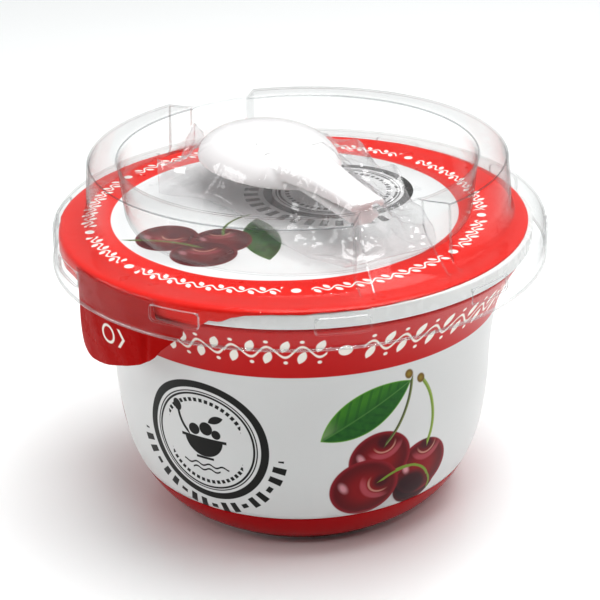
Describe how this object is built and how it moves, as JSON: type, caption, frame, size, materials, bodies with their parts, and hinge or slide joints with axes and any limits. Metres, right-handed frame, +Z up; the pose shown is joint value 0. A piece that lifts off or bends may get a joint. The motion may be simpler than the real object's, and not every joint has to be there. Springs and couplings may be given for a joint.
{
  "type": "yoghurt pot with spoon in lid",
  "caption": "Bowl-shaped food pot with a foil lid and pull tab, a clear clip-on overcap, and a film-wrapped folded spoon lying in the overcap's recess.",
  "frame": {"origin": "centre of the pot's foot ring, on the surface that the pot stands on", "axes": "+Z up along the pot's axis, -Y towards the front, with the pull tab to the left of it and a finger grip to the right"},
  "size_m": [0.101, 0.101, 0.0749],
  "materials": {
    "pot_plastic": "moulded, satin gloss, white",
    "side_print": "gloss print, white with a red band",
    "base_print": "gloss print, red",
    "foil": "red print on thin foil",
    "clear_plastic": "clear thermoformed sheet plastic",
    "spoon_plastic": "moulded, gloss, white",
    "film": "clear crinkled wrapping film"
  },
  "bodies": {
    "pot": {"pot": "pot_plastic", "side_label": "side_print", "base_label": "base_print"},
    "lid": {"foil_lid": "foil"},
    "tab": {"pull_tab": "foil"},
    "cap": {"overcap": "clear_plastic"},
    "wrapped_spoon": {"spoon": "spoon_plastic", "spoon_film": "film"}
  },
  "joints": [
    {"name": "lid_lift", "type": "slide", "parent": "pot", "child": "lid", "axis": [0, 0, 1], "range_m": [0, 0.03]},
    {"name": "tab_fold", "type": "hinge", "parent": "lid", "child": "tab", "pos_m": [-0.03591, -0.03349, 0.0608], "axis": [-0.682, 0.7314, 0], "range_deg": [-10, 3]},
    {"name": "cap_lift", "type": "slide", "parent": "lid", "child": "cap", "axis": [0, 0, 1], "range_m": [0, 0.04]},
    {"name": "spoon_lift", "type": "slide", "parent": "cap", "child": "wrapped_spoon", "axis": [0, 0, 1], "range_m": [0, 0.03]}
  ]
}
